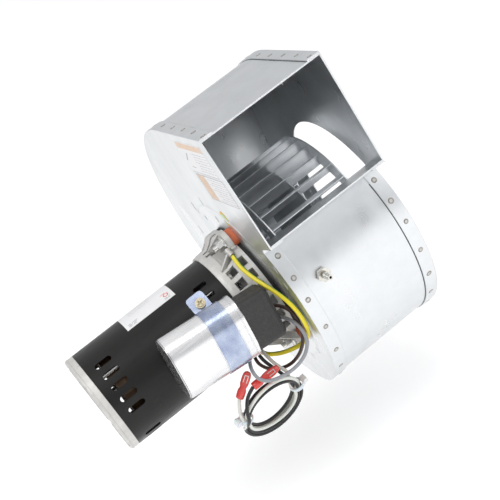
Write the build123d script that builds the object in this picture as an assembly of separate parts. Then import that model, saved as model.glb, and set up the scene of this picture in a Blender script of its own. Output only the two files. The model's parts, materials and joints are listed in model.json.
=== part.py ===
# Combustion fan: galvanized scroll housing, forward-curved wheel, fractional motor and its run capacitor.
# Millimetres.  Origin: centre of the inlet opening, on the outer face of the inlet-side plate.
# +X points out of the inlet along the shaft, the outlet looks along -Y, +Z is up.
from build123d import *
from math import radians, degrees, cos, sin, tan, pi, sqrt, atan2
import os

os.makedirs("parts", exist_ok=True)

W = 105.0                   # housing width over the two plates
T = 1.2                     # galvanized sheet thickness
MP = -W                     # outer face of the motor-side plate


# ---------------------------------------------------------------- helpers
def yz(x):
    """Plane square to the shaft: local x is +Y, local y is +Z."""
    return Plane(origin=(x, 0, 0), x_dir=(0, 1, 0), z_dir=(1, 0, 0))


def disc(x0, x1, r, y=0.0, z=0.0):
    return extrude(yz(x0) * Pos(y, z) * Circle(r), x1 - x0)


def ring(x0, x1, ro, ri, y=0.0, z=0.0):
    return disc(x0, x1, ro, y, z) - disc(x0, x1, ri, y, z)


def polar(r, a):
    return (r * cos(radians(a)), r * sin(radians(a)))


def sector(x0, x1, r0, r1, a0, a1):
    """Piece of a ring between two angles, measured from +Y toward +Z."""
    m = (a0 + a1) / 2
    edges = [ThreePointArc(polar(r0, a0), polar(r0, m), polar(r0, a1)),
             Line(polar(r0, a1), polar(r1, a1)),
             ThreePointArc(polar(r1, a1), polar(r1, m), polar(r1, a0)),
             Line(polar(r1, a0), polar(r0, a0))]
    return extrude(yz(x0) * make_face(Curve() + edges), x1 - x0)


def turned(points):
    """Solid turned about the shaft from (x, radius) points."""
    return revolve(make_face(Polyline(*points, close=True)), Axis.X, 360)


def radial(x, phi, r0, r1, radius):
    """Round bar pointing out from the shaft axis at angle phi."""
    out = (0, cos(radians(phi)), sin(radians(phi)))
    foot = Plane(origin=(x, out[1] * r0, out[2] * r0), x_dir=(1, 0, 0), z_dir=out)
    return extrude(foot * Circle(radius), r1 - r0)


def bar(a, b, radius):
    axis = Vector(*b) - Vector(*a)
    return extrude(Plane(origin=a, z_dir=axis) * Circle(radius), axis.length)


def save(name, shape):
    export_step(shape, "parts/" + name + ".step")


# ---------------------------------------------------------------- scroll outline
OUT_Y = -100.0              # outlet plane
TOP = 145.0                 # top of the outlet


def outline(d):
    """Scroll outline, moved inward by d: four arcs and the rounded tongue."""
    def arc(cy, cz, r, a0, a1):
        pts = [(cy + r * cos(radians(a)), cz + r * sin(radians(a))) for a in (a0, (a0 + a1) / 2, a1)]
        return ThreePointArc(*pts)

    ty, tz, lip = -79.84, 43.84, radians(10)           # centre of the tongue, slope of the outlet floor
    reach = Vector(ty + 8.5, tz + 0.5)                 # from the last arc's centre to it
    tr = reach.length - 80 + d
    turn = degrees(atan2(reach.Y, -reach.X))
    crest = (ty + tr * sin(lip), tz + tr * cos(lip))
    front = (OUT_Y, crest[1] + (crest[0] - OUT_Y) * tan(lip))
    edges = [Line((OUT_Y, TOP - d), (0, TOP - d)),
             arc(0, 12, 133 - d, 90, 0),
             arc(16, 12, 117 - d, 0, -90),
             arc(16, -0.5, 104.5 - d, -90, -180),
             arc(-8.5, -0.5, 80 - d, 180, 180 - turn),
             arc(ty, tz, tr, -turn, 90 - degrees(lip)),
             Line(crest, front),
             Line(front, (OUT_Y, TOP - d))]
    return make_face(Curve() + edges)


plate = outline(0)
rim = outline(0) - outline(T)
skin = outline(T) - outline(2 * T)

# inlet-side plate: round opening, two short slots, rim bent over the wrap
inlet_plate = extrude(yz(-T) * plate, T) + extrude(yz(-T - 10) * rim, 10)
inlet_plate -= disc(-T - 1, 1, 78.5)
for y, z in ((3.2, 115), (-25.7, 82.5)):
    inlet_plate -= extrude(yz(-T - 1) * Pos(y, z) * Rot(0, 0, 90) * SlotOverall(4.6, 1.8), T + 2)
save("inlet_side_plate", inlet_plate)

# motor-side plate: shaft hole, stud holes, pressed ring, short slits, rim bent over the wrap
LUG_R = 54.0
LUGS = (114.0, 234.0, 354.0)
motor_plate = extrude(yz(MP) * plate, T) + extrude(yz(MP + T) * rim, 10)
motor_plate += turned([(MP, 69.6), (MP - 0.4, 71.2), (MP - 0.4, 73.0), (MP, 74.6)])
motor_plate -= disc(MP - 1, MP + T + 1, 14)
for a in LUGS:
    y, z = polar(LUG_R, a)
    motor_plate -= disc(MP - 2, MP + T + 1, 2.4, y, z)
for y, z, length in ((44.0, 66.0, 8.5), (37.5, 62.5, 4.5), (28.0, 57.5, 4.5), (8.0, 77.0, 7.0), (-5.0, 62.0, 6.0),
                     (76.5, 36.0, 8.5), (-78.0, 29.0, 7.0), (-77.0, 14.0, 7.0), (-46.0, -58.0, 7.0),
                     (-36.0, -50.5, 6.0), (-19.0, -73.0, 7.0)):
    motor_plate -= extrude(yz(MP - 2) * Pos(y, z) * Rot(0, 0, 90) * SlotOverall(length, 1.6), T + 4)
save("motor_side_plate", motor_plate)

# wrap: strip following the outline between the plates
TAP = (-79.8, -86.9, 7.9)
wrap = extrude(yz(MP + T) * skin, W - 2 * T)
wrap -= bar((TAP[0], -95, TAP[2]), (TAP[0], -80, TAP[2]), 3.0)
save("scroll_wrap", wrap)

# hose barb through the wrap, its axis along -Y
def along_y(y0, y1, r0, r1=None):
    foot = Plane(origin=(TAP[0], y0, TAP[2]), x_dir=(1, 0, 0), z_dir=(0, -1, 0))
    if r1 is None:
        return extrude(foot * Circle(r0), y0 - y1)
    return foot * Cone(r0, r1, y0 - y1, align=(Align.CENTER, Align.CENTER, Align.MIN))


hexagon = Plane(origin=(TAP[0], -88.2, TAP[2]), x_dir=(1, 0, 0), z_dir=(0, -1, 0)) * RegularPolygon(5.6, 6)
barb = extrude(hexagon, 3.2) + along_y(-80.5, -88.4, 3.0) + along_y(-91.4, -101.0, 1.9)
for y in (-93.2, -97.0):
    barb += along_y(y, y - 3.4, 2.7, 1.9)
barb -= along_y(-80.0, -102.0, 1.0)
save("pressure_tap_barb", barb)
tap_nut = extrude(Plane(origin=(TAP[0], -81.0, TAP[2]), x_dir=(1, 0, 0), z_dir=(0, -1, 0))
                  * RegularPolygon(5.6, 6), 3.4) - along_y(-80, -86, 3.0)
save("pressure_tap_nut", tap_nut)

# paper labels on the motor-side plate
def paper(y, z, w, h):
    return extrude(yz(MP - 0.15) * Pos(y, z) * RectangleRounded(w, h, 1.2), 0.15)


save("upper_label", paper(-61, 125, 57, 27.5))
save("lower_label", paper(-63.5, 98.2, 57, 24))
save("inspection_sticker", extrude(yz(MP - 0.15) * Pos(-31, 82.5 - 15.5) * Ellipse(6, 7), 0.15)
     - turned([(MP - 1, 69.5), (MP - 1, 75), (MP, 75), (MP, 69.5)]))

# ---------------------------------------------------------------- motor mounting
studs, grommets, nuts, washers = [], [], [], []
for n, a in enumerate(LUGS):
    y, z = polar(LUG_R, a)
    studs.append(disc(MP - 19, MP + T, 2.4, y, z) + disc(MP + T, MP + T + 1.4, 4.2, y, z))
    grommets.append(ring(MP - 5, MP, 7.5, 2.4, y, z) + ring(MP - 8.9, MP - 5, 4.6, 2.4, y, z))
    flange = disc(MP - 11.2, MP - 9.8, 6.0, y, z)
    body = extrude(yz(MP - 15.6) * Pos(y, z) * RegularPolygon(4.6, 6), 4.5)
    nuts.append(flange + body - disc(MP - 17, MP - 8, 2.4, y, z))
    if n:
        washers.append(ring(MP - 9.8, MP - 9.0, 5.6, 2.4, y, z))
save("motor_studs", Compound(children=studs))
save("isolator_grommets", Compound(children=grommets))
save("stud_nuts", Compound(children=nuts))
save("stud_washers", Compound(children=washers))

# ring terminal under the top nut, its crimp pointing down and outward to the ground lead
y, z = polar(LUG_R, LUGS[0])
lead_dir = Vector(0, -0.84, -0.54).normalized()
crimp0 = Vector(MP - 11.6, y, z) + lead_dir * 7.2
crimp1 = Vector(MP - 11.6, y, z) + lead_dir * 14.6
tongue = extrude(Plane(origin=(MP - 9.8, y, z), x_dir=(0, lead_dir.Y, lead_dir.Z), z_dir=(1, 0, 0))
                 * Pos(5.2, 0) * Rectangle(7.6, 4.4), 0.8)
terminal = disc(MP - 9.8, MP - 9.0, 5.4, y, z) + tongue + bar(tuple(crimp0), tuple(crimp1), 2.5)
terminal -= disc(MP - 12, MP - 8, 2.4, y, z)
terminal -= bar(tuple(crimp0 + lead_dir * 1.0), tuple(crimp1 + lead_dir * 1.0), 1.95)
terminal -= disc(MP - 20, MP - 9.8, 6.0, y, z)
save("ring_terminal", terminal)

gasket = ring(MP - 3, MP, 51.0, 30.0)
for a in LUGS:
    gy, gz = polar(LUG_R, a)
    gasket -= disc(MP - 4, MP + 1, 7.5, gy, gz)
save("motor_gasket", gasket)

# ---------------------------------------------------------------- front end bell
BEAR_R, SHAFT_R = 11.0, 4.0
outer = turned([(MP - 30, 0), (MP - 30, 43.7), (MP - 27, 44.3), (MP - 20, 44.8), (MP - 16, 47.6), (MP - 12, 51.2),
                (MP - 10, 52), (MP - 3, 52), (MP - 3, 0)])
inner = turned([(MP - 31, 0), (MP - 31, 42), (MP - 26, 42), (MP - 26, 40.6), (MP - 20, 40.6), (MP - 15.5, 45),
                (MP - 11.5, 48.6), (MP - 6, 48.6), (MP - 6, 0)])
bell = outer - inner
bell += ring(MP - 14, MP - 3, 14, BEAR_R) + ring(MP - 6, MP - 3, 15, 5)
bell -= disc(MP - 7, MP - 2, 5)
for a in LUGS:
    bell -= sector(MP - 21, MP - 9, 43, 60, a - 15.5, a + 15.5)
for a in LUGS:
    for side in (-1, 1):
        bell += sector(MP - 21.7, MP - 4.6, 39.4, 55, a + side * 16.6 - 1.0, a + side * 16.6 + 1.0) & outer
        # slanting gusset from the barrel up to the ear, lower on the side where the ground lead passes
        lean = radians(-11 * side)
        web = Plane(origin=(MP - 24.6, side * 11.9, 41.6), x_dir=(cos(lean), sin(lean), 0),
                    z_dir=(sin(lean), -cos(lean), 0))
        crest = [(18.0, 17.0), (19.8, 17.0)] if side > 0 else [(11.0, 10.6), (19.8, 12.2)]
        rib = extrude(web * make_face(Polyline((0, 0), (0, 2.6), *crest, (19.8, 0), close=True)), 0.8, both=True)
        bell += Rot(a - 90, 0, 0) * rib
    bell += sector(MP - 22.3, MP - 4.2, 39.8, 42.8, a - 17.1, a + 17.1)
for a in LUGS:
    ly, lz = polar(LUG_R, a)
    ear = disc(MP - 9, MP - 5, 9.5, ly, lz) + sector(MP - 9, MP - 5, 45, 55, a - 11, a + 11)
    bell += ear
for a in LUGS:
    ly, lz = polar(LUG_R, a)
    bell -= disc(MP - 5, MP - 2, 7.5, ly, lz)
    bell -= disc(MP - 10, MP - 2, 4.6, ly, lz)
rows = [137.5 + 14 * k for k in range(6)] + [257.5 + 14 * k for k in range(6)] + [17.5 + 14 * k for k in range(5)]
for a in rows:
    bell -= sector(MP - 12, MP - 6, 38, 60, a - 4.5, a + 4.5)
    bell -= sector(MP - 23, MP - 15.5, 38, 60, a - 4.5, a + 4.5)
for a in (90.5, 99.5):
    bell -= sector(MP - 24, MP - 6.5, 38, 60, a - 1.9, a + 1.9)
BOLT_R = 37.0
BOLTS = (45, 135, 225, 315)
for a in BOLTS:
    by, bz = polar(BOLT_R, a)
    boss = disc(MP - 30, MP - 20, 4.2, by, bz) & disc(MP - 31, MP - 19, 40.8)
    bell += boss
for a in BOLTS:
    by, bz = polar(BOLT_R, a)
    bell -= disc(MP - 31, MP - 21, 2.0, by, bz)
save("front_end_bell", bell)

# ---------------------------------------------------------------- shell
R = 42.0
GROMMET_X, GROMMET_PHI = MP - 37.2, 222.0
SCREW_X, SCREW_PHI = MP - 52.1, 141.0
SLOT_PHI = 125.0            # first of the vent slots; the shell is plain under its label
shell = ring(MP - 149.5, MP - 26, R, R - 1.2)
for k in range(19):
    a = SLOT_PHI + 14.4 * k
    for x0, x1, w in ((-142.0, -127.6, 2.4), (-50.0, -38.0, 2.0)):
        if x1 > -60 and 205 < a % 360 < 240:
            continue
        if x1 < -60 and 190 < a % 360 < 220:      # plain strip over the shell's rolled seam
            continue
        cut = sector(MP + x0 + w, MP + x1 - w, 36, 46, a - degrees(w / R), a + degrees(w / R))
        cut += radial(MP + x0 + w, a, 36, 46, w) + radial(MP + x1 - w, a, 36, 46, w)
        shell -= cut
shell -= radial(GROMMET_X, GROMMET_PHI, 30, 50, 6.1)
shell -= radial(SCREW_X, SCREW_PHI, 36, 46, 1.9)
save("motor_shell", shell)
save("rating_label", sector(MP - 106, MP - 61, R, R + 0.15, 35, 113))
lead_grommet = radial(GROMMET_X, GROMMET_PHI, 39.5, 44.6, 6.1)
flange = radial(GROMMET_X, GROMMET_PHI, 39.5, 44.6, 6.9) - disc(MP - 60, MP - 10, R)
lead_grommet += flange
lead_grommet -= radial(GROMMET_X, GROMMET_PHI, 38, 46, 5.3)
save("lead_grommet", lead_grommet)

# ---------------------------------------------------------------- rear end bell
corner = [(MP - 157 + 2.4 * (1 - sin(radians(t))), R - 2.4 * (1 - cos(radians(t)))) for t in range(90, -1, -15)]
rear = turned([(MP - 149.5, 38.6)] + [(MP - 157, 38.6)] + corner + [(MP - 149.5, R)])
rear += ring(MP - 155.0, MP - 154.3, R + 0.35, R - 1)
rear += ring(MP - 153, MP - 150, 39, 13) + ring(MP - 149.5, MP - 146.5, R - 1.2, 38.9) + ring(MP - 150, MP - 149, R - 1.2, 38)
rear += ring(MP - 153, MP - 143, 14, BEAR_R) + disc(MP - 154, MP - 152, 14)
for k in range(12):
    rear -= sector(MP - 154.5, MP - 149.2, 20, 31, 30 * k - 9, 30 * k + 9)
for a in BOLTS:
    by, bz = polar(BOLT_R, a)
    rear -= disc(MP - 158, MP - 153, 4.4, by, bz)
    rear -= disc(MP - 158, MP - 140, 2.0, by, bz)
save("rear_end_bell", rear)

bolts = []
for a in BOLTS:
    by, bz = polar(BOLT_R, a)
    bolts.append(disc(MP - 153, MP - 21, 2.0, by, bz)
                 + extrude(yz(MP - 156) * Pos(by, bz) * RegularPolygon(4.0, 6), 3.0))
save("through_bolts", Compound(children=bolts))

# ---------------------------------------------------------------- stator
C0, C1 = MP - 118, MP - 66
core = disc(C0, C1, R - 1.2) - disc(C0 - 1, C1 + 1, 22.5)
coils = ring(C1, C1 + 20, 34.4, 24.5) + ring(C0 - 20, C0, 34.4, 24.5)
for k in range(24):
    a = 15 * k + 7.5
    core -= sector(C0 - 1, C1 + 1, 20, 24.5, a - 1.6, a + 1.6)
    slot = sector(C0, C1, 24.5, 33.0, a - 4.2, a + 4.2)
    core -= slot
    coils += slot
for a in BOLTS:
    by, bz = polar(BOLT_R, a)
    core -= disc(C0 - 1, C1 + 1, 2.2, by, bz)
save("stator_core", core)
save("stator_windings", coils)
save("thermal_protector", extrude(yz(C1 + 20) * Pos(*polar(29.5, 60)) * Rot(0, 0, 60) * RectangleRounded(7, 14, 1.5), 4.5))

# ---------------------------------------------------------------- bearings (8 x 22 x 7, seven 3.97 mm balls)
BALL, PITCH = 1.984, 7.5
for name, x0 in (("front", MP - 13), ("rear", MP - 150)):
    mid = x0 + 3.5
    groove = revolve(Plane.XY * Pos(mid, PITCH) * Circle(BALL + 0.045), Axis.X, 360)
    save(name + "_bearing_outer_race", ring(x0, x0 + 7, BEAR_R, 9.1) - groove)
    save(name + "_bearing_inner_race", ring(x0, x0 + 7, 5.9, SHAFT_R) - groove)
    balls = ring(mid - 1.3, mid + 1.3, 8.2, 6.8)
    for k in range(7):
        by, bz = polar(PITCH, 360 / 7 * k)
        balls += Pos(mid, by, bz) * Sphere(BALL)
    save(name + "_bearing_balls", balls)
save("wave_spring", ring(MP - 152, MP - 151.5, 10.8, 8.6) + ring(MP - 150.5, MP - 150, 10.8, 8.6)
     + sum((sector(MP - 151.5, MP - 150.5, 8.6, 10.8, 60 * k, 60 * k + 12) for k in range(6)), Part()))

# ---------------------------------------------------------------- rotor
shaft = turned([(MP - 150.5, 0), (MP - 150.5, SHAFT_R), (MP - 126, SHAFT_R), (MP - 126, 5), (MP - 58, 5),
                (MP - 58, SHAFT_R), (MP + 65.2, SHAFT_R), (MP + 66, SHAFT_R - 0.8), (MP + 66, 0)])
save("shaft", shaft)
save("rotor_core", ring(C0, C1, 22.0, 5.0))
rings = ring(C1, C1 + 6, 21.5, 14) + Part()
rings_rear = ring(C0 - 6, C0, 21.5, 14)
save("rotor_end_rings", Compound(children=[rings, rings_rear]))
fan = ring(MP - 138, MP - 128, 8, SHAFT_R) + ring(MP - 138, MP - 137, 22, 7)
for k in range(8):
    fan += extrude(yz(MP - 137) * Rot(0, 0, 45 * k) * Pos(14.5, 0) * Rectangle(14.0, 1.0), 7)
save("cooling_fan", fan)

# ---------------------------------------------------------------- wheel: 34 forward-curved blades on a centre disc
WHEEL_R, EYE_R, BLADES = 77.0, 61.0, 34
X_RING0, X_DISC, X_RING1 = MP + 17, MP + 55.5, MP + 86
hub = ring(MP + 44, MP + 64.5, 8.0, SHAFT_R) + ring(X_DISC - 1.6, X_DISC, 17, 8)
set_screws = []
for a in (20, 110):
    s = radial(MP + 48.5, a, SHAFT_R, 7.6, 2.0)
    hub -= radial(MP + 48.5, a, 3, 9, 2.0)
    set_screws.append(s - radial(MP + 48.5, a, 5.5, 8, 0.9))
rivets, rivet_holes = [], []
for k in range(6):
    ry, rz = polar(12.8, 60 * k)
    hub -= disc(X_DISC - 3, X_DISC + 1, 1.5, ry, rz)
    rivet_holes.append(disc(X_DISC - 2, X_DISC + 3, 1.5, ry, rz))
    rivets.append(disc(X_DISC - 1.6, X_DISC + 1.0, 1.5, ry, rz) + disc(X_DISC + 1.0, X_DISC + 2.0, 2.6, ry, rz)
                  + disc(X_DISC - 2.4, X_DISC - 1.6, 2.4, ry, rz))
save("wheel_hub", hub)
save("wheel_set_screws", Compound(children=set_screws))
save("hub_rivets", Compound(children=rivets))

THICK = 0.8
def blade(a):
    """One blade: hollow side forward, inner edge trailing the outer edge by four degrees."""
    def side(shift):
        return [polar(r, b + degrees(shift / r)) for r, b in ((EYE_R, a - 4.0), (69.0, a - 4.3), (WHEEL_R, a))]
    back, front = side(0), side(THICK)
    edges = [ThreePointArc(*back), Line(back[2], front[2]), ThreePointArc(*front), Line(front[0], back[0])]
    return extrude(yz(X_RING0 + 1) * make_face(Curve() + edges), X_RING1 - X_RING0 - 1)


blades = [blade(110.3 + 360 / BLADES * k) for k in range(BLADES)]
centre = ring(X_DISC, X_DISC + 1, 66.0, 8.0)
for h in rivet_holes:
    centre -= h
for b in blades:
    centre -= b
save("wheel_centre_disc", centre)
save("wheel_blades", Compound(children=blades))
save("wheel_motor_ring", ring(X_RING0, X_RING0 + 1, WHEEL_R, EYE_R))
save("wheel_inlet_ring", ring(X_RING1, X_RING1 + 1, WHEEL_R, EYE_R))

# ---------------------------------------------------------------- run capacitor, lying along the motor, 6.1 degrees nose down
TILT = 6.1
CAP = Plane(origin=(MP - 69.6, -59.5, 6.6), x_dir=(sin(radians(TILT)), 0, cos(radians(TILT))),
            z_dir=(cos(radians(TILT)), 0, -sin(radians(TILT))))


def oval(s0, s1, w, t, dx=0.0, dy=0.0):
    return extrude(CAP * Pos(dx, dy, s0) * SlotOverall(w, t), s1 - s0)


def box(s0, s1, w, t, r, dx=0.0, dy=0.0):
    return extrude(CAP * Pos(dx, dy, s0) * RectangleRounded(w, t, r), s1 - s0)


can = oval(-29.4, 29.5, 50.4, 33) + oval(-30.25, -29.4, 49.2, 31.8) - oval(-29.6, 30, 49.4, 32)
can += oval(28.3, 29.5, 51.4, 34.0) - oval(28, 30, 50.4, 33)
can += oval(29.5, 30.8, 51.4, 34.0) - oval(29, 31, 47.6, 30.2)
save("capacitor_can", can)
save("capacitor_lid", oval(27.2, 29.5, 49.4, 32))
save("capacitor_element", oval(-28.5, 24.0, 46, 28.6))
terminals = []
for dx in (-9.5, 11.5):
    t = extrude(CAP * Pos(dx, 0, 29.5) * Circle(4.0), 1.6)
    for dy in (-1.6, 1.6):
        t += box(31.0, 40.0, 6.35, 0.8, 0.3, dx, dy)
    terminals.append(t)
save("capacitor_terminals", Compound(children=terminals))
boot = box(30.8, 52.4, 40.5, 25, 5.5, 1.0, 4.0) + box(52.4, 53.8, 39.0, 23.4, 4.7, 1.0, 4.0) \
    + box(53.8, 54.8, 36.4, 20.8, 3.6, 1.0, 4.0) - box(30, 52.4, 36.9, 21.4, 3.7, 1.0, 4.0)
save("capacitor_boot", boot)
wrap_label = oval(-28.4, 3.6, 50.7, 33.3) - oval(-29, 5, 50.4, 33)
wrap_label_2 = oval(22.9, 27.6, 50.7, 33.3) - oval(22, 29, 50.4, 33)
save("capacitor_label", Compound(children=[wrap_label, wrap_label_2]))
strap = oval(4.25, 22.25, 52, 34.6) - oval(4, 23, 50.4, 33)
out = (0, cos(radians(SCREW_PHI)), sin(radians(SCREW_PHI)))
ear_plane = Plane(origin=(SCREW_X - 0.6, out[1] * R, out[2] * R), x_dir=(1, 0, 0), z_dir=out)
# local y of the ear runs back toward lower angles, so the strap side is negative
ear = extrude(ear_plane * Pos(0, -3.2) * RectangleRounded(15, 24.4, 3.0), 0.8)
strap += ear
strap -= radial(SCREW_X, SCREW_PHI, 40, 46, 1.9)
strap -= oval(4, 23, 50.4, 33)
save("capacitor_strap", strap)
screw = radial(SCREW_X, SCREW_PHI, 37.5, R + 0.8, 1.9) + radial(SCREW_X, SCREW_PHI, R + 0.8, R + 2.6, 4.1) \
    + radial(SCREW_X, SCREW_PHI, R + 2.6, R + 3.2, 3.0)
for turn in (0, 90):
    slot = Plane(origin=(SCREW_X, out[1] * (R + 1.6), out[2] * (R + 1.6)), x_dir=(1, 0, 0), z_dir=out) * Rot(0, 0, turn + 20)
    screw -= extrude(slot * Rectangle(4.4, 0.9), 3)
save("strap_screw", screw)

# ---------------------------------------------------------------- leads
def cord(name, points, dia, limp=3.0):
    """Round lead following the points, with a bend at every inner one."""
    radii = []
    for a, b, c in zip(points, points[1:], points[2:]):
        u, v = Vector(*b) - Vector(*a), Vector(*c) - Vector(*b)
        half = radians(u.get_angle(v)) / 2
        radii.append(0.45 * min(u.length, v.length) / tan(half))
    path = FilletPolyline(*points, radius=radii)
    start = Plane(origin=path @ 0, z_dir=path % 0)
    body = sweep(start * Circle(dia / 2), path=path)
    runs = [(Vector(*b) - Vector(*a)).length for a, b in zip(points, points[1:])]
    print(name, "length", round(path.length, 1), "runs", [round(r, 1) for r in runs],
          "radii", [round(r, 1) for r in radii], "volume ratio", round(body.volume / (path.length * pi * dia * dia / 4), 3),
          "TIGHT" if min(radii) < limp * dia else "")
    save(name, body)


cord("ground_wire", [(-116.6, -34.3, 41.3), (-118.2, -40.2, 35.2), (-117.2, -48.0, 27.4), (-115.0, -56.0, 20.0),
                     (-111.4, -66.0, 10.5), (-108.4, -74.0, -0.8), (-107.4, -75.5, -16.0), (-108.2, -69.0, -31.6),
                     (-113.6, -54.6, -41.6), (-126.3, -45.6, -42.6), (-136.0, -40.6, -38.8), (-140.0, -35.9, -35.6),
                     (-141.2, -31.0, -31.7)], 3.6)
cord("brown_wire", [(-118.7, -54.0, 0.2), (-112.8, -59.2, -2.6), (-109.4, -65.6, -9.6), (-109.4, -66.6, -21.0),
                    (-113.6, -65.6, -33.4), (-120.0, -57.0, -45.4), (-130.2, -46.6, -53.0), (-141.8, -41.6, -49.4),
                    (-147.6, -40.4, -41.0), (-147.8, -37.2, -34.6), (-144.8, -31.4, -30.6)], 2.8)
cord("grey_wire", [(-118.9, -55.4, -9.0), (-113.6, -63.4, -14.2), (-111.8, -72.0, -21.0), (-112.9, -74.0, -31.6),
                   (-119.1, -71.4, -41.2), (-129.8, -69.2, -46.0), (-141.9, -68.6, -45.4), (-153.3, -68.6, -41.6),
                   (-159.4, -68.0, -34.6), (-158.7, -63.4, -26.8), (-154.4, -54.2, -24.6), (-149.6, -45.0, -26.2),
                   (-145.1, -34.9, -28.6)], 2.8)
cord("black_lead", [(-141.4, -34.4, -27.0), (-144.2, -41.0, -29.6), (-144.6, -45.6, -35.4), (-142.6, -48.6, -42.3),
                    (-140.4, -50.4, -48.4), (-139.0, -51.2, -53.3)], 2.8)
cord("white_lead", [(-139.2, -32.3, -29.1), (-140.0, -38.8, -32.0), (-140.0, -43.6, -37.2), (-138.7, -46.4, -44.1),
                    (-136.4, -48.4, -50.0), (-134.7, -49.6, -55.0)], 2.8)

# the rest of the two leads, wound in three turns and tied
COIL = Vector(-158.5, -46.0, -69.2)
COIL_N = Vector(0, 0.84, 0.54).normalized()
COIL_V = COIL_N.cross(Vector(1, 0, 0)).normalized()         # in the coil plane, square to X
COIL_R = 24.5


def coil_at(t):
    return COIL + Vector(1, 0, 0) * (COIL_R * cos(radians(t))) + COIL_V * (COIL_R * sin(radians(t)))


def coil_face(t, extra):
    rad = (coil_at(t) - COIL).normalized()
    tan_dir = COIL_N.cross(rad)
    return Plane(origin=coil_at(t), x_dir=rad, z_dir=tan_dir) * Ellipse(5.0 + extra, 4.2 + extra)


coil_axis = Axis(tuple(COIL), tuple(COIL_N))
coil = revolve(coil_face(0, 0), coil_axis, 360)
save("lead_coil", coil)
ties = []
for t in (-3.5, 195.6):
    band = revolve(coil_face(t, 1.0), coil_axis, 8.5) - coil
    rad = (coil_at(t + 4.2) - COIL).normalized()
    head = Plane(origin=coil_at(t + 4.2) + rad * 7.2, x_dir=rad, z_dir=COIL_N) * Box(3.4, 5.4, 5.4)
    ties.append(band + (head - coil))
save("cable_ties", Compound(children=ties))

TAIL_W0, TAIL_W1 = (-177.1, -57.0, -42.2), (-161.4, -62.0, -27.6)
TAIL_B0, TAIL_B1 = (-164.7, -61.8, -39.8), (-140.6, -61.8, -40.0)
cord("white_lead_tail", [(-183.6, -52.9, -66.4), (-184.6, -54.2, -59.6), (-182.6, -55.2, -50.6), TAIL_W0], 2.8)
cord("black_lead_tail", [(-181.4, -57.4, -63.6), (-180.2, -60.8, -56.0), (-176.8, -61.8, -48.6), (-171.6, -62.0, -42.4), TAIL_B0], 2.8)

LOOK = Vector(0.193, 0.917, -0.348)


def disconnect(name, a, b):
    """Red insulated push-on terminal: round crimp at a, flat socket toward b."""
    d = Vector(*b) - Vector(*a)
    along = Plane(origin=a, x_dir=d.cross(LOOK), z_dir=d)
    body = extrude(along * Circle(3.1), 8.5)
    body += extrude(along * Pos(0, 0, 7.5) * RectangleRounded(6.4, 4.4, 1.6), d.length - 7.5)
    body -= extrude(along * Pos(0, 0, 12.0) * RectangleRounded(5.0, 1.8, 0.6), d.length)
    body = body - extrude(along * Circle(1.9), 3.0)
    save(name, body)


disconnect("white_disconnect", TAIL_W0, TAIL_W1)
disconnect("black_disconnect", TAIL_B0, TAIL_B1)
print(len(os.listdir("parts")), "step files")
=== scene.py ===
# Combustion fan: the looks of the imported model.  Metres, in the model's own frame:
# +X out of the inlet along the shaft, the outlet looks along -Y, +Z up.
import json
import math
import random

import bmesh
import bpy
from mathutils import Matrix, Vector


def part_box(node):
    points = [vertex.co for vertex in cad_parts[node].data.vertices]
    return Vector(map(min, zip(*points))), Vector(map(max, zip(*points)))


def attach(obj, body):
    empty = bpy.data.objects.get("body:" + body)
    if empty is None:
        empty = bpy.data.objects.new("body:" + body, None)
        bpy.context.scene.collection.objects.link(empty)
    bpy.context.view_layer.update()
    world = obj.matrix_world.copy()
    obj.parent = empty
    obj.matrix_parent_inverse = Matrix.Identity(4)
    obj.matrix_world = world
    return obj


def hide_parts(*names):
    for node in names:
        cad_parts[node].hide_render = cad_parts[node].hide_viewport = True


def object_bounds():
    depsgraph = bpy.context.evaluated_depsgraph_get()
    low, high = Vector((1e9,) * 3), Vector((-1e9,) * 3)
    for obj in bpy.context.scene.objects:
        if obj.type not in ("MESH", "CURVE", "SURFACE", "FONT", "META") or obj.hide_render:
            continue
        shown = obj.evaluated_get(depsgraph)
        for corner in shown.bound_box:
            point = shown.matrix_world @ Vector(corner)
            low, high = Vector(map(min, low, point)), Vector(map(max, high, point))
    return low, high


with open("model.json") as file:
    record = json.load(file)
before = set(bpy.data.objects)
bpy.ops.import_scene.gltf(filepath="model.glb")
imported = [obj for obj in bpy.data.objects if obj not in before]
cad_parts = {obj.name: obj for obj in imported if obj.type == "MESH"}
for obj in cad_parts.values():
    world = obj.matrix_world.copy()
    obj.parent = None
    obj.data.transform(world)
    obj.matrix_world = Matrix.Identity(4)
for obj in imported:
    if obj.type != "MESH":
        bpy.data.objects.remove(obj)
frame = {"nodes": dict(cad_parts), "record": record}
cad_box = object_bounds()
nodes = frame["nodes"]
rng = random.Random(7)
MM = 0.001

# ---------------------------------------------------------------- driving places, from the frame
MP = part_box("motor_shell")[1].x + 26 * MM           # outer face of the motor-side plate
SHEET = 1.2 * MM
FLANGE = 10 * MM
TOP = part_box("scroll_wrap")[1].z + SHEET            # top of the outlet
OUT_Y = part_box("scroll_wrap")[0].y                  # outlet plane
SHELL_R = 42 * MM
FLOOR_DROP = 60 * MM
BLADES = 34
CAMERA_PLACE = (-0.27016, -0.82644, 0.33728)
CAMERA_AZIMUTH, CAMERA_ELEVATION, CAMERA_ROLL = -11.9013, 20.3719, -33.8298      # degrees
CAMERA_LENS, CAMERA_SENSOR = 82.993, 36                                         # mm


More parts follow.
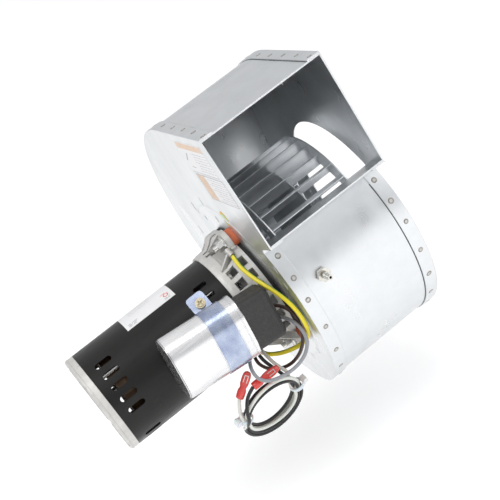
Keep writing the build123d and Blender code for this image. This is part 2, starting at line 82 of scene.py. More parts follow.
# ---------------------------------------------------------------- camera and light
def point_camera(place, azimuth, elevation, roll, lens):
    az, el, ro = (math.radians(v) for v in (azimuth, elevation, roll))
    ahead = Vector((-math.sin(az) * math.cos(el), math.cos(az) * math.cos(el), -math.sin(el)))
    level = ahead.cross(Vector((0, 0, 1))).normalized()
    over = level.cross(ahead)
    right = level * math.cos(ro) + over * math.sin(ro)
    up = over * math.cos(ro) - level * math.sin(ro)
    data = bpy.data.cameras.new("camera")
    data.lens, data.sensor_width = lens, CAMERA_SENSOR
    data.clip_start = 0.01
    camera = bpy.data.objects.new("camera", data)
    bpy.context.scene.collection.objects.link(camera)
    turn = Matrix((right, up, -ahead)).transposed().to_4x4()
    camera.matrix_world = Matrix.Translation(place) @ turn
    bpy.context.scene.camera = camera


point_camera(CAMERA_PLACE, CAMERA_AZIMUTH, CAMERA_ELEVATION, CAMERA_ROLL, CAMERA_LENS)


def soft_box(name, place, target, size, power):
    data = bpy.data.lights.new(name, "AREA")
    data.shape, data.size, data.size_y = "RECTANGLE", size[0], size[1]
    data.energy = power
    light = bpy.data.objects.new(name, data)
    light.location = place
    light.rotation_euler = (Vector(target) - Vector(place)).to_track_quat("-Z", "Y").to_euler()
    bpy.context.scene.collection.objects.link(light)


soft_box("key", (-0.9, -0.6, 1.3), (-0.1, 0, 0), (1.0, 0.8), 8)
soft_box("fill", (0.9, -0.9, 0.5), (-0.05, 0, 0), (0.7, 0.9), 3)
soft_box("throat", (0.15, -0.45, 0.95), (0.05, 0, 0.02), (0.35, 0.35), 0.8)


def studio():
    """White room, a little darker below, so that metal has something to mirror."""
    world = bpy.data.worlds.new("studio")
    bpy.context.scene.world = world
    world.use_nodes = True
    tree = world.node_tree
    back = tree.nodes["Background"]
    place = tree.nodes.new("ShaderNodeTexCoord")
    split = tree.nodes.new("ShaderNodeSeparateXYZ")
    shade = tree.nodes.new("ShaderNodeValToRGB")
    tree.links.new(place.outputs["Generated"], split.inputs[0])
    tree.links.new(split.outputs["Z"], shade.inputs["Fac"])
    tree.links.new(shade.outputs["Color"], back.inputs["Color"])
    shade.color_ramp.elements[0].position = 0.0
    shade.color_ramp.elements[0].color = (0.58, 0.59, 0.61, 1)
    shade.color_ramp.elements[1].position = 0.75
    shade.color_ramp.elements[1].color = (1.0, 1.0, 1.0, 1)
    back.inputs["Strength"].default_value = 0.88


studio()
bpy.context.scene.view_settings.view_transform = "Standard"


# ---------------------------------------------------------------- materials
class Finish:
    """A Principled material built up layer by layer in the object's own metres."""

    def __init__(self, name, color, metallic=0.0, roughness=0.5):
        self.material = bpy.data.materials.new(name)
        self.material.use_nodes = True
        self.tree = self.material.node_tree
        self.base = self.tree.nodes["Principled BSDF"]
        self.base.inputs["Base Color"].default_value = (*color, 1)
        self.base.inputs["Metallic"].default_value = metallic
        self.base.inputs["Roughness"].default_value = roughness
        self.place = self.tree.nodes.new("ShaderNodeTexCoord")
        self.normal = None

    def set(self, **inputs):
        for key, value in inputs.items():
            self.base.inputs[key.replace("_", " ")].default_value = value
        return self

    def spots(self, scale, stretch=(1, 1, 1), detail=4.0, kind="noise"):
        """Noise or crystal pattern as a 0 to 1 value."""
        tree = self.tree
        fit = tree.nodes.new("ShaderNodeMapping")
        fit.inputs["Scale"].default_value = stretch
        tree.links.new(self.place.outputs["Object"], fit.inputs["Vector"])
        if kind == "noise":
            pattern = tree.nodes.new("ShaderNodeTexNoise")
            pattern.inputs["Detail"].default_value = detail
            out = pattern.outputs["Fac"]
        else:
            pattern = tree.nodes.new("ShaderNodeTexVoronoi")
            gray = tree.nodes.new("ShaderNodeSeparateColor")
            tree.links.new(pattern.outputs["Color"], gray.inputs[0])
            out = gray.outputs[0]
        pattern.inputs["Scale"].default_value = scale
        tree.links.new(fit.outputs["Vector"], pattern.inputs["Vector"])
        return out

    def ramp(self, value, low, high, start=0.3, end=0.7):
        node = self.tree.nodes.new("ShaderNodeValToRGB")
        ends = node.color_ramp.elements
        ends[0].position, ends[1].position = start, end
        ends[0].color = (*low, 1) if hasattr(low, "__len__") else (low, low, low, 1)
        ends[1].color = (*high, 1) if hasattr(high, "__len__") else (high, high, high, 1)
        self.tree.links.new(value, node.inputs["Fac"])
        return node.outputs["Color"]

    def times(self, a, b):
        node = self.tree.nodes.new("ShaderNodeMix")
        node.data_type, node.blend_type = "RGBA", "MULTIPLY"
        node.inputs["Factor"].default_value = 1.0
        self.tree.links.new(a, node.inputs["A"])
        self.tree.links.new(b, node.inputs["B"])
        return node.outputs["Result"]

    def color(self, output):
        self.tree.links.new(output, self.base.inputs["Base Color"])
        return self

    def rough(self, output):
        self.tree.links.new(output, self.base.inputs["Roughness"])
        return self

    def bevel(self, radius):
        node = self.tree.nodes.new("ShaderNodeBevel")
        node.samples = 4
        node.inputs["Radius"].default_value = radius
        self.normal = node.outputs["Normal"]
        self.tree.links.new(self.normal, self.base.inputs["Normal"])
        return self

    def bump(self, value, height, strength=1.0):
        node = self.tree.nodes.new("ShaderNodeBump")
        node.inputs["Distance"].default_value = height
        node.inputs["Strength"].default_value = strength
        self.tree.links.new(value, node.inputs["Height"])
        if self.normal is not None:
            self.tree.links.new(self.normal, node.inputs["Normal"])
        self.normal = node.outputs["Normal"]
        self.tree.links.new(self.normal, self.base.inputs["Normal"])
        return self


def galvanized(name, bright, dark, low=0.26, high=0.42):
    """Hot-dip zinc: crystals a few millimetres wide, drifting smudges and fine rolling lines."""
    f = Finish(name, bright, 1.0, 0.34)
    crystals = f.ramp(f.spots(170, kind="crystal"), 0.975, 1.0, 0.0, 1.0)
    smudge = f.ramp(f.spots(9, detail=3), dark, bright)
    f.color(f.times(smudge, crystals))
    f.rough(f.ramp(f.spots(60, stretch=(1, 1, 0.35)), low, high))
    f.bevel(1.1 * MM)
    f.bump(f.spots(16, detail=1), 0.15 * MM, 0.1)
    f.bump(f.spots(1500, detail=2), 0.005 * MM, 0.3)
    return f.material


def bright_zinc(name, bright, dark, roughness, grain=700, metallic=1.0):
    f = Finish(name, bright, metallic, roughness)
    f.color(f.ramp(f.spots(60, detail=5), dark, bright))
    f.rough(f.ramp(f.spots(grain), roughness * 0.85, roughness * 1.2))
    f.bevel(0.35 * MM)
    f.bump(f.spots(grain), 0.004 * MM, 0.3)
    return f.material


def cast(name, bright, dark, roughness=0.55):
    """As-cast aluminium with a pebbled skin and slightly darker hollows."""
    f = Finish(name, bright, 0.55, roughness)
    f.color(f.ramp(f.spots(160, detail=6), dark, bright, 0.3, 0.62))
    f.rough(f.ramp(f.spots(500), roughness - 0.12, roughness + 0.12))
    f.bevel(0.6 * MM)
    f.bump(f.spots(700, detail=3), 0.03 * MM, 0.4)
    return f.material


def enamel():
    """Black motor enamel: slight orange peel and dust."""
    f = Finish("black_enamel", (0.012, 0.012, 0.012), 0.0, 0.3)
    f.color(f.ramp(f.spots(35, detail=8), (0.006, 0.0055, 0.005), (0.010, 0.0092, 0.009)))
    f.rough(f.ramp(f.spots(260, stretch=(0.3, 1, 1)), 0.26, 0.42))
    f.set(Specular_IOR_Level=0.28, Coat_Weight=0.05, Coat_Roughness=0.2)
    f.bevel(0.4 * MM)
    f.bump(f.spots(420, detail=1), 0.01 * MM, 0.3)
    return f.material


def brushed_can():
    """Drawn aluminium: fine lines along the can, light scuffs."""
    f = Finish("can_aluminium", (0.86, 0.86, 0.86), 1.0, 0.3)
    lines = f.spots(420, stretch=(0.05, 1, 1), detail=6)
    scuffs = f.ramp(f.spots(45, stretch=(0.25, 1, 1), detail=5), 0.90, 1.0, 0.36, 0.62)
    f.color(f.times(f.ramp(lines, (0.80, 0.80, 0.82), (0.91, 0.91, 0.91)), scuffs))
    f.rough(f.ramp(lines, 0.22, 0.32))
    f.bevel(0.5 * MM)
    f.bump(lines, 0.008 * MM, 0.3)
    return f.material


def strap_zinc():
    """Bright zinc with the blue and violet bloom of a clear passivate."""
    f = Finish("strap_zinc", (0.66, 0.70, 0.80), 1.0, 0.22)
    bloom = f.ramp(f.spots(50, detail=4), (0.28, 0.33, 0.50), (0.58, 0.65, 0.78), 0.35, 0.68)
    fleck = f.ramp(f.spots(1200, detail=4), 0.86, 1.0)
    f.color(f.times(bloom, fleck))
    f.rough(f.ramp(f.spots(700, detail=6), 0.16, 0.34))
    f.bevel(0.35 * MM)
    f.bump(f.spots(900), 0.005 * MM, 0.3)
    return f.material


def speckled_plastic(name, dark, light):
    """Moulded plastic with a fine spark texture."""
    f = Finish(name, dark, 0.0, 0.55)
    f.color(f.ramp(f.spots(1900, detail=6), dark, light, 0.45, 0.85))
    f.rough(f.ramp(f.spots(300), 0.44, 0.62))
    f.bevel(1.2 * MM)
    f.bump(f.spots(1700, detail=2), 0.04 * MM, 0.7)
    return f.material


def plain(name, color, roughness=0.45, metallic=0.0, drift=0.10, grain=500, height=0.015, **extra):
    """Small piece: colour drifts a little and the skin has a fine grain."""
    f = Finish(name, color, metallic, roughness)
    f.color(f.ramp(f.spots(grain * 0.2, detail=5), tuple(c * (1 - drift) for c in color), color))
    f.rough(f.ramp(f.spots(grain), roughness * 0.85, min(1.0, roughness * 1.15)))
    f.bevel(0.25 * MM)
    f.bump(f.spots(grain * 2), height * MM, 0.6)
    f.set(**extra)
    return f.material


def insulation(name, color, **extra):
    return plain(name, color, 0.32, drift=0.08, grain=350, height=0.01, Specular_IOR_Level=0.5, **extra)


finishes = {
    "galvanized": galvanized("galvanized", (0.775, 0.79, 0.80), (0.73, 0.75, 0.765)),
    "zinc_wheel": bright_zinc("zinc_wheel", (0.80, 0.82, 0.84), (0.75, 0.775, 0.80), 0.33, grain=120,
                              metallic=0.6),
    "hub_steel": bright_zinc("hub_steel", (0.56, 0.56, 0.55), (0.45, 0.45, 0.45), 0.34),
    "black_steel": plain("black_steel", (0.03, 0.03, 0.03), 0.4, metallic=0.8),
    "bright_steel": bright_zinc("bright_steel", (0.68, 0.68, 0.67), (0.58, 0.58, 0.58), 0.2),
    "zinc_hardware": bright_zinc("zinc_hardware", (0.74, 0.74, 0.72), (0.58, 0.58, 0.56), 0.24),
    "yellow_zinc": bright_zinc("yellow_zinc", (0.62, 0.56, 0.42), (0.48, 0.42, 0.28), 0.3),
    "spring_steel": bright_zinc("spring_steel", (0.32, 0.32, 0.34), (0.24, 0.24, 0.26), 0.3),
    "brass": bright_zinc("brass", (0.76, 0.74, 0.70), (0.62, 0.60, 0.55), 0.26),
    "tinned_terminals": bright_zinc("tinned_terminals", (0.78, 0.77, 0.74), (0.60, 0.59, 0.56), 0.28),
    "orange_rubber": plain("orange_rubber", (0.68, 0.17, 0.07), 0.55, drift=0.3),
    "gasket_rubber": plain("gasket_rubber", (0.016, 0.016, 0.016), 0.75, drift=0.3, grain=900, height=0.06),
    "black_rubber": plain("black_rubber", (0.012, 0.012, 0.012), 0.5, drift=0.2),
    "cast_aluminium": cast("cast_aluminium", (0.66, 0.65, 0.63), (0.575, 0.565, 0.545)),
    "motor_shell_steel": enamel(),
    "lamination": bright_zinc("lamination", (0.24, 0.23, 0.22), (0.16, 0.15, 0.15), 0.45, grain=1500),
    "copper_winding": plain("copper_winding", (0.13, 0.075, 0.04), 0.35, metallic=0.4, drift=0.5, grain=900,
                            height=0.2),
    "dark_plastic": speckled_plastic("dark_plastic", (0.020, 0.019, 0.0185), (0.060, 0.058, 0.056)),
    "can_aluminium": brushed_can(),
    "lid_plastic": plain("lid_plastic", (0.55, 0.52, 0.47), 0.5),
    "label_white": plain("label_white", (0.80, 0.80, 0.81), 0.35, drift=0.04),
    "label_yellow": plain("label_yellow", (0.83, 0.52, 0.10), 0.5, drift=0.2),
    "wire_ground": insulation("wire_ground", (0.88, 0.74, 0.03)),
    "wire_brown": insulation("wire_brown", (0.055, 0.026, 0.018)),
    "wire_grey": insulation("wire_grey", (0.30, 0.305, 0.33)),
    "wire_black": insulation("wire_black", (0.014, 0.014, 0.015)),
    "wire_white": insulation("wire_white", (0.80, 0.78, 0.72), Subsurface_Weight=0.1),
    "tie_white": plain("tie_white", (0.80, 0.81, 0.82), 0.35, drift=0.05, Subsurface_Weight=0.3),
    "red_insulator": plain("red_insulator", (0.85, 0.070, 0.060), 0.2, drift=0.3, Subsurface_Weight=0.4,
                           Coat_Weight=0.4),
}
slots = {s["node"]: s["material_slot"] for s in frame["record"]["subparts"]}
strap_finish = strap_zinc()


def dress(obj, material):
    obj.data.materials.clear()
    obj.data.materials.append(material)


for name, obj in nodes.items():
    obj.data.shade_smooth()
    obj.data.set_sharp_from_angle(angle=math.radians(28))
    dress(obj, finishes[slots[name]])
dress(nodes["capacitor_strap"], strap_finish)
dress(nodes["capacitor_label"], finishes["can_aluminium"])


# ---------------------------------------------------------------- making pieces
def piece(name, body, material, build):
    """New mesh object from a bmesh builder, riding on a body."""
    mesh = bpy.data.meshes.new(name)
    bm = bmesh.new()
    build(bm)
    bmesh.ops.recalc_face_normals(bm, faces=bm.faces)
    bm.to_mesh(mesh)
    bm.free()
    obj = bpy.data.objects.new(name, mesh)
    bpy.context.scene.collection.objects.link(obj)
    for m in material if isinstance(material, (list, tuple)) else [material]:
        mesh.materials.append(m)
    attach(obj, body)
    return obj


def slab(bm, corner, u, v, n, thick, mat=0):
    """Thin box from a corner, two edge vectors and its outward normal."""
    low = [corner, corner + u, corner + u + v, corner + v]
    verts = [bm.verts.new(p) for p in low] + [bm.verts.new(p + n * thick) for p in low]
    for face in ((0, 1, 2, 3), (4, 5, 6, 7), (0, 1, 5, 4), (1, 2, 6, 5), (2, 3, 7, 6), (3, 0, 4, 7)):
        bm.faces.new([verts[i] for i in face]).material_index = mat


# ---------------------------------------------------------------- the scroll's outline
def outline(inward, step):
    """Points (y, z) and outward normals along the scroll, top of the outlet first, down to the tongue."""
    stations = []
    run = abs(OUT_Y)
    for k in range(int(run / step) + 1):
        stations.append((OUT_Y + k * step, TOP - inward, 0.0, 1.0))
    # each arc: centre y and z, radius, start and end angle
    arcs = ((0, 12, 133, 90, 0), (16, 12, 117, 0, -90),
            (16, -0.5, 104.5, -90, -180), (-8.5, -0.5, 80, 180, 152))
    for cy, cz, r, a0, a1 in arcs:
        r = r * MM - inward
        count = max(2, int(r * math.radians(a0 - a1) / step)) if a0 > a1 else 2
        for k in range(1, count + 1):
            a = math.radians(a0 + (a1 - a0) * k / count)
            stations.append((cy * MM + r * math.cos(a), cz * MM + r * math.sin(a), math.cos(a), math.sin(a)))
    return stations


def spot_weld(bm, centre, out, radius):
    """Ring of heat-stained metal round a shallow dimple."""
    # each ring of points: share of the radius, height in mm
    side = Vector((1, 0, 0))
    other = out.cross(side)
    count = 14
    rows = []
    for part, height in ((1.0, 0.0), (0.78, 0.16), (0.55, 0.20), (0.42, 0.05), (0.0, 0.02)):
        if part == 0:
            rows.append([bm.verts.new(centre + out * height * MM)])
            continue
        rows.append([bm.verts.new(centre + out * height * MM
                                  + (side * math.cos(2 * math.pi * k / count)
                                     + other * math.sin(2 * math.pi * k / count)) * radius * part)
                     for k in range(count)])
    for level, (a, b) in enumerate(zip(rows, rows[1:])):
        for k in range(count):
            j = (k + 1) % count
            ring = [a[k], a[j], b[j], b[k]] if len(b) > 1 else [a[k], a[j], b[0]]
            bm.faces.new(ring).material_index = 1 if level >= 2 else 0


weld_brown = plain("weld_stain", (0.42, 0.39, 0.34), 0.38, metallic=0.8, drift=0.55, grain=1800)
weld_centre = plain("weld_centre", (0.62, 0.62, 0.62), 0.35, metallic=0.9, drift=0.2)


WELD_STEP = 23.5 * MM


def welds(bm):
    for x in (-SHEET - FLANGE * 0.5, MP + SHEET + FLANGE * 0.5):
        for y, z, ny, nz in outline(0, WELD_STEP):
            y = y + 4 * MM if z > TOP - 1 * MM else y
            spot = Vector((x + rng.uniform(-0.8, 0.8) * MM, y, z))
            out = Vector((0, ny, nz))
            spot_weld(bm, spot - out * 0.03 * MM, out, rng.uniform(2.0, 2.6) * MM)


piece("spot_welds", "housing", [weld_brown, weld_centre], welds)


def painted_flange_shadow(bm):
    """Painted shadow: a narrow dark strip on the wrap beside the inlet-side flange, standing in for the
    shade at the flange's edge.
    """
    x0, x1 = -SHEET - FLANGE - 0.55 * MM, -SHEET - FLANGE - 0.02 * MM
    rows = [[bm.verts.new((x, y, z)) for x in (x0, x1)] for y, z, _, _ in outline(SHEET - 0.03 * MM, 3 * MM)]
    for a, b in zip(rows, rows[1:]):
        bm.faces.new((a[0], a[1], b[1], b[0]))


# Painted shadow: dark strip along the wrap where the inlet-side flange's edge casts shade.
piece("flange_shadow_strip", "housing", plain("gap_shadow", (0.035, 0.037, 0.04), 0.6), painted_flange_shadow)


def blade_tabs(bm):
    """Ends of the blades folded flat over the two rings."""
    first, inner, length, width, thick, sunk = 106.4, 66.5 * MM, 4.2 * MM, 1.7 * MM, 0.5 * MM, 0.02 * MM
    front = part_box("wheel_inlet_ring")[1].x
    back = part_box("wheel_motor_ring")[0].x
    for face, out in ((front, 1), (back, -1)):
        for k in range(BLADES):
            a = math.radians(first + 360 / BLADES * k)
            ray = Vector((0, math.cos(a), math.sin(a)))
            side = Vector((0, -math.sin(a), math.cos(a)))
            corner = Vector((face - out * sunk, 0, 0)) + ray * inner - side * 0.8 * MM
            slab(bm, corner, ray * length, side * width, Vector((out, 0, 0)), thick)


piece("blade_tabs", "rotor", finishes["zinc_wheel"], blade_tabs)

# ---------------------------------------------------------------- printed labels, with generic marks only
ink = plain("ink_grey", (0.30, 0.30, 0.32), 0.5)
tan = plain("ink_tan", (0.80, 0.60, 0.46), 0.5, drift=0.15)
pale = plain("ink_green", (0.55, 0.80, 0.35), 0.5)
red = plain("ink_red", (0.75, 0.10, 0.05), 0.45)
PRINT = 0.02 * MM


def text_rows(bm, at, width, height, rows, stroke=0.32):
    """Rows of word-sized dashes that say nothing.  at(u, v) gives a point and its normal, in mm."""
    for r in range(rows):
        v = height * (r + 0.5) / rows
        u = 0.0
        end = width * rng.uniform(0.72, 0.97)
        while u < end:
            word = min(rng.uniform(1.6, 5.5), end - u)
            block(bm, at, u, v, word, stroke)
            u += word + rng.uniform(0.7, 1.2)


def block(bm, at, u, v, w, h, mat=0):
    steps = max(1, int(w / 3))
    low = [at(u + w * k / steps, v) for k in range(steps + 1)]
    high = [at(u + w * k / steps, v + h) for k in range(steps + 1)]
    a = [bm.verts.new(p + n * PRINT) for p, n in low]
    b = [bm.verts.new(p + n * PRINT) for p, n in high]
    for k in range(steps):
        bm.faces.new((a[k], a[k + 1], b[k + 1], b[k])).material_index = mat


def on_plate(node):
    """Label coordinates on the motor-side plate: u runs toward +Y, v runs down."""
    low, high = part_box(node)
    return (lambda u, v: (Vector((low.x, low.y + u * MM, high.z - v * MM)), Vector((-1, 0, 0))),
            (high.y - low.y) / MM, (high.z - low.z) / MM)


def upper_print(bm):
    at, w, h = on_plate("upper_label")
    block(bm, at, 0.8, 0.6, w - 1.6, h * 0.19, 1)
    block(bm, at, 0.5, h - 0.9, w - 1, 0.35)
    text_rows(bm, lambda u, v: at(u + 2, v + h * 0.27), w - 22, h * 0.64, 7)
    for k in range(4):
        block(bm, at, w - 15 + 2.6 * k, h * 0.34 + 1.9 * k, 2.2, 1.5)
    block(bm, at, w - 16, h * 0.80, 9, 0.5)


def lower_print(bm):
    at, w, h = on_plate("lower_label")
    sides = ((0.5, 0.3, w - 1, 0.4), (0.5, h - 0.7, w - 1, 0.4),
             (0.4, 0.5, 0.5, h - 1), (w - 0.9, 0.5, 0.5, h - 1))
    for u, v, a, b in sides:
        block(bm, at, u, v, a, b)
    block(bm, at, w * 0.70, 0.9, w * 0.28, h - 1.9, 1)
    text_rows(bm, lambda u, v: at(u + 2, v + 1.6), w * 0.64, h - 3, 9)


piece("upper_label_print", "housing", [ink, tan], upper_print)
piece("lower_label_print", "housing", [ink, tan], lower_print)


def sticker_face(bm):
    """Green centre of the inspection dot."""
    low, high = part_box("inspection_sticker")
    mid = (low + high) / 2
    rim = [bm.verts.new((low.x - PRINT, mid.y + 4.3 * MM * math.cos(t), mid.z + 5.0 * MM * math.sin(t)))
           for t in (2 * math.pi * k / 32 for k in range(32))]
    bm.faces.new(rim)


piece("inspection_dot", "housing", pale, sticker_face)


def on_shell(u, v):
    """Rating label: u runs along the motor from its rear end, v down round the shell."""
    low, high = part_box("rating_label")
    a = math.radians(113) - v * MM / SHELL_R
    n = Vector((0, math.cos(a), math.sin(a)))
    return Vector((low.x + u * MM, 0, 0)) + n * (SHELL_R + 0.15 * MM), n


def rating_print(bm):
    low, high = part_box("rating_label")
    w = (high.x - low.x) / MM
    text_rows(bm, lambda u, v: on_shell(u + 8, v + 14), w - 20, 30, 12, stroke=0.22)
    text_rows(bm, lambda u, v: on_shell(u + 3, v + 1.2), 9, 4.2, 3, stroke=0.5)
    text_rows(bm, lambda u, v: on_shell(u + w - 8.5, v + 1.5), 6, 2.2, 2, stroke=0.45)
    for k in range(16):
        a = 2 * math.pi * k / 16
        block(bm, on_shell, w - 6 + 1.9 * math.cos(a), 6.6 + 1.9 * math.sin(a), 0.75, 0.75, 1)
    block(bm, on_shell, w - 9.4, 9.6, 4.2, 0.6, 1)
    block(bm, on_shell, w - 3.6, 4.4, 0.6, 4.4, 1)


piece("rating_label_print", "housing", [ink, red], rating_print)


# ---------------------------------------------------------------- leads
def curve(name, points, diameter, material):
    data = bpy.data.curves.new(name, "CURVE")
    data.dimensions = "3D"
    data.bevel_depth = diameter / 2 * MM
    data.bevel_resolution = 5
    data.resolution_u = 10
    data.use_fill_caps = True
    spline = data.splines.new("NURBS")
    spline.points.add(len(points) - 1)
    for p, place in zip(spline.points, points):
        p.co = (*(Vector(place) * MM), 1)
    spline.order_u = 3
    spline.use_endpoint_u = True
    data.materials.append(material)
    obj = bpy.data.objects.new(name, data)
    bpy.context.scene.collection.objects.link(obj)
    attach(obj, "housing")
    return obj


GROUND = [(-116.6, -34.3, 41.3), (-118.2, -40.2, 35.2), (-117.2, -48.0, 27.4), (-115.0, -56.0, 20.0),
          (-111.4, -66.0, 10.5), (-108.4, -74.0, -0.8), (-107.4, -75.5, -16.0), (-108.2, -69.0, -31.6),
          (-113.6, -54.6, -41.6), (-126.3, -45.6, -42.6), (-136.0, -40.6, -38.8), (-140.0, -35.9, -35.6),
          (-141.2, -31.0, -31.7)]
BROWN = [(-118.7, -54.0, 0.2), (-112.8, -59.2, -2.6), (-109.4, -65.6, -9.6), (-109.4, -66.6, -21.0),
         (-113.6, -65.6, -33.4), (-120.0, -57.0, -45.4), (-130.2, -46.6, -53.0), (-141.8, -41.6, -49.4),
         (-147.6, -40.4, -41.0), (-147.8, -37.2, -34.6), (-144.8, -31.4, -30.6)]
GREY = [(-118.9, -55.4, -9.0), (-113.6, -63.4, -14.2), (-111.8, -72.0, -21.0), (-112.9, -74.0, -31.6),
        (-119.1, -71.4, -41.2), (-129.8, -69.2, -46.0), (-141.9, -68.6, -45.4), (-153.3, -68.6, -41.6),
        (-159.4, -68.0, -34.6), (-158.7, -63.4, -26.8), (-154.4, -54.2, -24.6), (-149.6, -45.0, -26.2),
        (-145.1, -34.9, -28.6)]
BLACK_LEAD = [(-141.4, -34.4, -27.0), (-144.2, -41.0, -29.6), (-144.6, -45.6, -35.4), (-142.6, -48.6, -42.3),
              (-140.4, -50.4, -48.4), (-139.0, -51.2, -53.3)]
WHITE_LEAD = [(-139.2, -32.3, -29.1), (-140.0, -38.8, -32.0), (-140.0, -43.6, -37.2), (-138.7, -46.4, -44.1),
              (-136.4, -48.4, -50.0), (-134.7, -49.6, -55.0)]
WHITE_TAIL = [(-183.6, -52.9, -66.4), (-184.6, -54.2, -59.6), (-182.6, -55.2, -50.6), (-177.1, -57.0, -42.2)]
BLACK_TAIL = [(-181.4, -57.4, -63.6), (-180.2, -60.8, -56.0), (-176.8, -61.8, -48.6), (-171.6, -62.0, -42.4),
              (-164.7, -61.8, -39.8)]

# the coil: its centre, axis and radius, and where its turns begin and end, in degrees
COIL = Vector((-158.5, -46.0, -69.2))
COIL_N = Vector((0, 0.84, 0.54)).normalized()
COIL_V = COIL_N.cross(Vector((1, 0, 0))).normalized()
COIL_R = 24.9
COIL_START, COIL_END, COIL_STEP = -12.0, 176.0 + 720, 25.2


def wound(layer):
    """Control points of one lead's turns, layer -1 or 1.

    Each turn lies outside the last, and the two leads change sides at the ties.
    """
    points = []
    count = round((COIL_END - COIL_START) / COIL_STEP)
    for k in range(count + 1):
        t = COIL_START + (COIL_END - COIL_START) * k / count
        a = math.radians(t)
        turn = (t - COIL_START) / 360
        fan = 0.5 + 0.5 * math.sin(a * 2 - 1.2)
        front = max(-1, min(1, 4 * math.sin(a))) * (-1 if turn < 1.03 else 1)
        apart = 1.0 * layer * front
        out = (turn - 1.3) * (2.75 + 0.7 * fan) + apart + 0.5 * math.sin(a * 3 + layer)
        along = -layer * front * (1.5 + 0.4 * fan) + 0.3 * math.sin(a * 2 + 2 * layer)
        ring = Vector((1, 0, 0)) * math.cos(a) + COIL_V * math.sin(a)
        points.append(tuple(COIL + ring * (COIL_R + out) + COIL_N * along))
    return points


def centreline(points):
    """Places along a lead's smooth line, in metres."""
    bare = curve("route", points, 0, finishes["wire_black"])
    bare.data.bevel_depth = 0
    bare.data.use_fill_caps = False
    mesh = bpy.data.meshes.new_from_object(bare)
    line = [v.co.copy() for v in mesh.vertices]
    bpy.data.objects.remove(bare)
    bpy.data.meshes.remove(mesh)
    return line


def line_length(line):
    return sum((b - a).length for a, b in zip(line, line[1:]))


def lead(name, points, diameter, slot_name, replaced):
    obj = curve(name, points, diameter, finishes[slot_name])
    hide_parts(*replaced)
    line_length(centreline(points))


lead("ground_lead", GROUND[::-1], 3.6, "wire_ground", ["ground_wire"])
lead("brown_lead", BROWN[::-1], 2.8, "wire_brown", ["brown_wire"])
lead("grey_lead", GREY[::-1], 2.8, "wire_grey", ["grey_wire"])


SIGHT_LINE = Vector((0.193, 0.917, -0.348))          # the main view's; the terminals lie flat to it


def terminal(name, node, start, end):
    """Insulated push-on terminal.

    A round crimp barrel, a waist, then a flat socket with a rounded mouth and a tinned clip showing in it.
    """
    a, b = Vector(start) * MM, Vector(end) * MM
    axis = (b - a).normalized()
    wide = axis.cross(SIGHT_LINE).normalized()
    deep = axis.cross(wide)
    long = (b - a).length
    count = 28
    # each section: place along it, half width, half depth, and how square it is (2 is an ellipse)
    stations = ((0.0, 2.7, 2.7, 2), (0.3, 3.15, 3.15, 2), (3.0, 3.3, 3.3, 2), (6.6, 3.2, 3.1, 2),
                (8.4, 2.5, 2.3, 2.2), (10.0, 2.7, 2.2, 2.6), (12.0, 3.25, 2.25, 3.2),
                (17.0, 3.35, 2.2, 3.4), (19.6, 3.1, 2.15, 3.2),
                (long / MM - 0.6, 2.3, 1.9, 2.6), (long / MM, 1.5, 1.3, 2.2))

    def build(bm):
        rows = []
        for s, w, d, power in stations:
            row = []
            for k in range(count):
                t = 2 * math.pi * k / count
                c, q = math.cos(t), math.sin(t)
                u = math.copysign(abs(c) ** (2 / power), c) * w * MM
                v = math.copysign(abs(q) ** (2 / power), q) * d * MM
                row.append(bm.verts.new(a + axis * (s * MM) + wide * u + deep * v))
            rows.append(row)
        for p, q in zip(rows, rows[1:]):
            for k in range(count):
                j = (k + 1) % count
                bm.faces.new((p[k], p[j], q[j], q[k]))
        bm.faces.new(rows[0])
        bm.faces.new(rows[-1])

    body = piece(name, "housing", finishes["red_insulator"], build)
    body.data.shade_smooth()
    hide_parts(node)

    def clip(bm):
        front = -deep if deep.y > 0 else deep
        rail = 0.55
        for off in (1.3, -1.3):
            corner = a + axis * (14.0 * MM) + wide * ((off - rail / 2) * MM) + front * (2.1 * MM)
            slab(bm, corner, axis * (6.0 * MM), wide * (rail * MM), front, 0.35 * MM)
        corner = a + axis * (19.4 * MM) + wide * (-1.5 * MM) + front * (2.05 * MM)
        slab(bm, corner, axis * (0.6 * MM), wide * (3.0 * MM), front, 0.3 * MM)

    tin = piece(name + "_clip", "housing", finishes["tinned_terminals"], clip)
    return [body, tin]


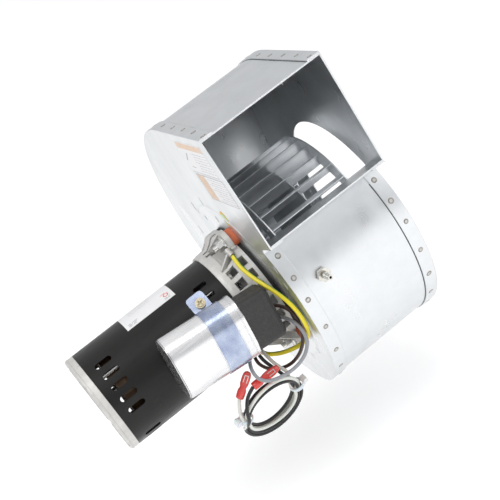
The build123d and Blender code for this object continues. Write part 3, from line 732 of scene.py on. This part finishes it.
white_terminal = terminal("white_push_on", "white_disconnect", WHITE_TAIL[-1], (-161.4, -62.0, -27.6))
black_terminal = terminal("black_push_on", "black_disconnect", BLACK_TAIL[-1], (-140.6, -61.8, -40.0))
lead("white_motor_lead", WHITE_LEAD + wound(-1) + WHITE_TAIL, 2.8, "wire_white",
     ["white_lead", "white_lead_tail", "lead_coil"])
lead("black_motor_lead", BLACK_LEAD + wound(1) + BLACK_TAIL, 2.8, "wire_black",
     ["black_lead", "black_lead_tail", "lead_coil"])


def green_stripe(bm):
    """Thin stripe lying on the ground lead's upper side."""
    line = centreline(GROUND)
    rows = []
    for k, p in enumerate(line):
        ahead = (line[min(k + 1, len(line) - 1)] - line[max(k - 1, 0)]).normalized()
        up = Vector((0.75, -0.35, 0.55))
        up = (up - ahead * up.dot(ahead)).normalized()
        side = ahead.cross(up)
        row = []
        for a in (-30, -10, 10, 30):
            r = (1.8 + (0.025 if abs(a) < 20 else -0.03)) * MM
            out = up * math.cos(math.radians(a)) + side * math.sin(math.radians(a))
            row.append(bm.verts.new(p + out * r))
        rows.append(row)
    for a, b in zip(rows, rows[1:]):
        for k in range(3):
            bm.faces.new((a[k], a[k + 1], b[k + 1], b[k]))


stripe = plain("stripe_green", (0.02, 0.26, 0.09), 0.35)
piece("ground_lead_stripe", "housing", stripe, green_stripe)

# ---------------------------------------------------------------- floor
floor_z = cad_box[0].z - FLOOR_DROP


def make_floor():
    mesh = bpy.data.meshes.new("floor")
    reach = 40.0
    mesh.from_pydata([(-reach, -reach, floor_z), (reach, -reach, floor_z), (reach, reach, floor_z),
                      (-reach, reach, floor_z)], [], [(0, 1, 2, 3)])
    obj = bpy.data.objects.new("floor", mesh)
    bpy.context.scene.collection.objects.link(obj)
    f = Finish("floor_white", (0.9, 0.9, 0.9), 0.0, 0.9)
    f.set(Specular_IOR_Level=0.0)
    f.base.inputs["Emission Color"].default_value = (1, 1, 1, 1)
    f.base.inputs["Emission Strength"].default_value = 0.27
    mesh.materials.append(f.material)


make_floor()
